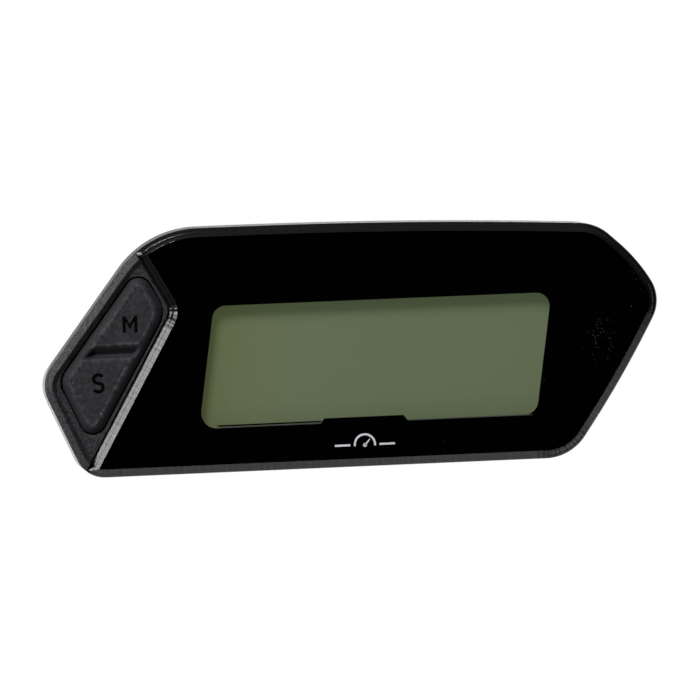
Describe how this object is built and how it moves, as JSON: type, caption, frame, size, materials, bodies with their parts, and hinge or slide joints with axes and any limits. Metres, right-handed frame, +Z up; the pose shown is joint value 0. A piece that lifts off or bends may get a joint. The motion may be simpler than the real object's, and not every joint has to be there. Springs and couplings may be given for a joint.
{
  "type": "instrument cluster",
  "caption": "Flat handlebar display: long angled case with a bevelled black cover lens, a grey-green LCD window, a rubber key panel at the left end, and rear bosses to bolt it by.",
  "frame": {"origin": "centre of the two rear mounting bosses, on their faces", "axes": "+Z up, +X to the rider's right along the case, +Y from the display to the mounting side; the display faces -Y"},
  "size_m": [0.1428, 0.029, 0.0569],
  "materials": {
    "case_plastic": "fine moulded grain, black",
    "lens": "polished clear acrylic with a cut bevel",
    "mask_print": "opaque black print seen through the lens",
    "adhesive": "black acrylic foam tape",
    "key_rubber": "matt dark grey silicone",
    "black_nylon": "moulded black nylon",
    "switch_plunger": "plain moulded plastic",
    "foam": "soft closed-cell foam",
    "lcd_tint": "olive grey-green LCD background",
    "lcd_glass": "thin float glass",
    "white_film": "white film and moulding",
    "light_guide": "clear acrylic with a dotted back",
    "led": "side-firing LED package",
    "zebra_rubber": "layered conductive silicone",
    "circuit_board": "green solder mask",
    "chip_black": "moulded epoxy",
    "capacitor_body": "moulded tantalum case",
    "crystal_can": "pressed metal can",
    "screw_steel": "blackened steel",
    "seal_rubber": "moulded silicone",
    "brass": "turned brass"
  },
  "bodies": {
    "case": {"backlight_leds": "led", "board_screws": "screw_steel", "bulk_capacitors": "capacitor_body", "bus_transceiver": "chip_black", "case_screws": "screw_steel", "connector_pins": "brass", "connector_seal": "seal_rubber", "connector_shell": "black_nylon", "cover_lens": "lens", "crystal": "crystal_can", "diffuser_film": "white_film", "front_housing": "case_plastic", "front_polariser": "lcd_tint", "housing_seal": "seal_rubber", "keypad_mat": "key_rubber", "keypad_retainer": "black_nylon", "lcd_front_glass": "lcd_glass", "lcd_gasket": "foam", "lcd_holder": "white_film", "lcd_rear_glass": "lcd_glass", "lens_mask": "mask_print", "lens_tape": "adhesive", "light_guide": "light_guide", "main_board": "circuit_board", "microcontroller": "chip_black", "mode_switch_body": "black_nylon", "power_inductor": "chip_black", "rear_cover": "case_plastic", "rear_polariser": "lcd_tint", "reflector_film": "white_film", "set_switch_body": "black_nylon", "threaded_inserts": "brass", "vent_membrane": "white_film", "vent_plug": "case_plastic", "voltage_regulator": "chip_black", "zebra_strip_bottom": "zebra_rubber", "zebra_strip_top": "zebra_rubber"},
    "mode_key": {"mode_key": "key_rubber"},
    "set_key": {"set_key": "key_rubber"},
    "mode_plunger": {"mode_switch_plunger": "switch_plunger"},
    "set_plunger": {"set_switch_plunger": "switch_plunger"}
  },
  "joints": [
    {"name": "mode_key_press", "type": "slide", "parent": "case", "child": "mode_key", "axis": [0, 1, 0], "range_m": [0, 0.0005], "stiffness_N_per_m": 800},
    {"name": "set_key_press", "type": "slide", "parent": "case", "child": "set_key", "axis": [0, 1, 0], "range_m": [0, 0.0005], "stiffness_N_per_m": 800},
    {"name": "mode_plunger_travel", "type": "slide", "parent": "case", "child": "mode_plunger", "axis": [0, 1, 0], "range_m": [0, 0.0005]},
    {"name": "set_plunger_travel", "type": "slide", "parent": "case", "child": "set_plunger", "axis": [0, 1, 0], "range_m": [0, 0.0005]}
  ],
  "couplings": [
    {"joint": "mode_plunger_travel", "follows": "mode_key_press", "ratio": 1},
    {"joint": "set_plunger_travel", "follows": "set_key_press", "ratio": 1}
  ]
}
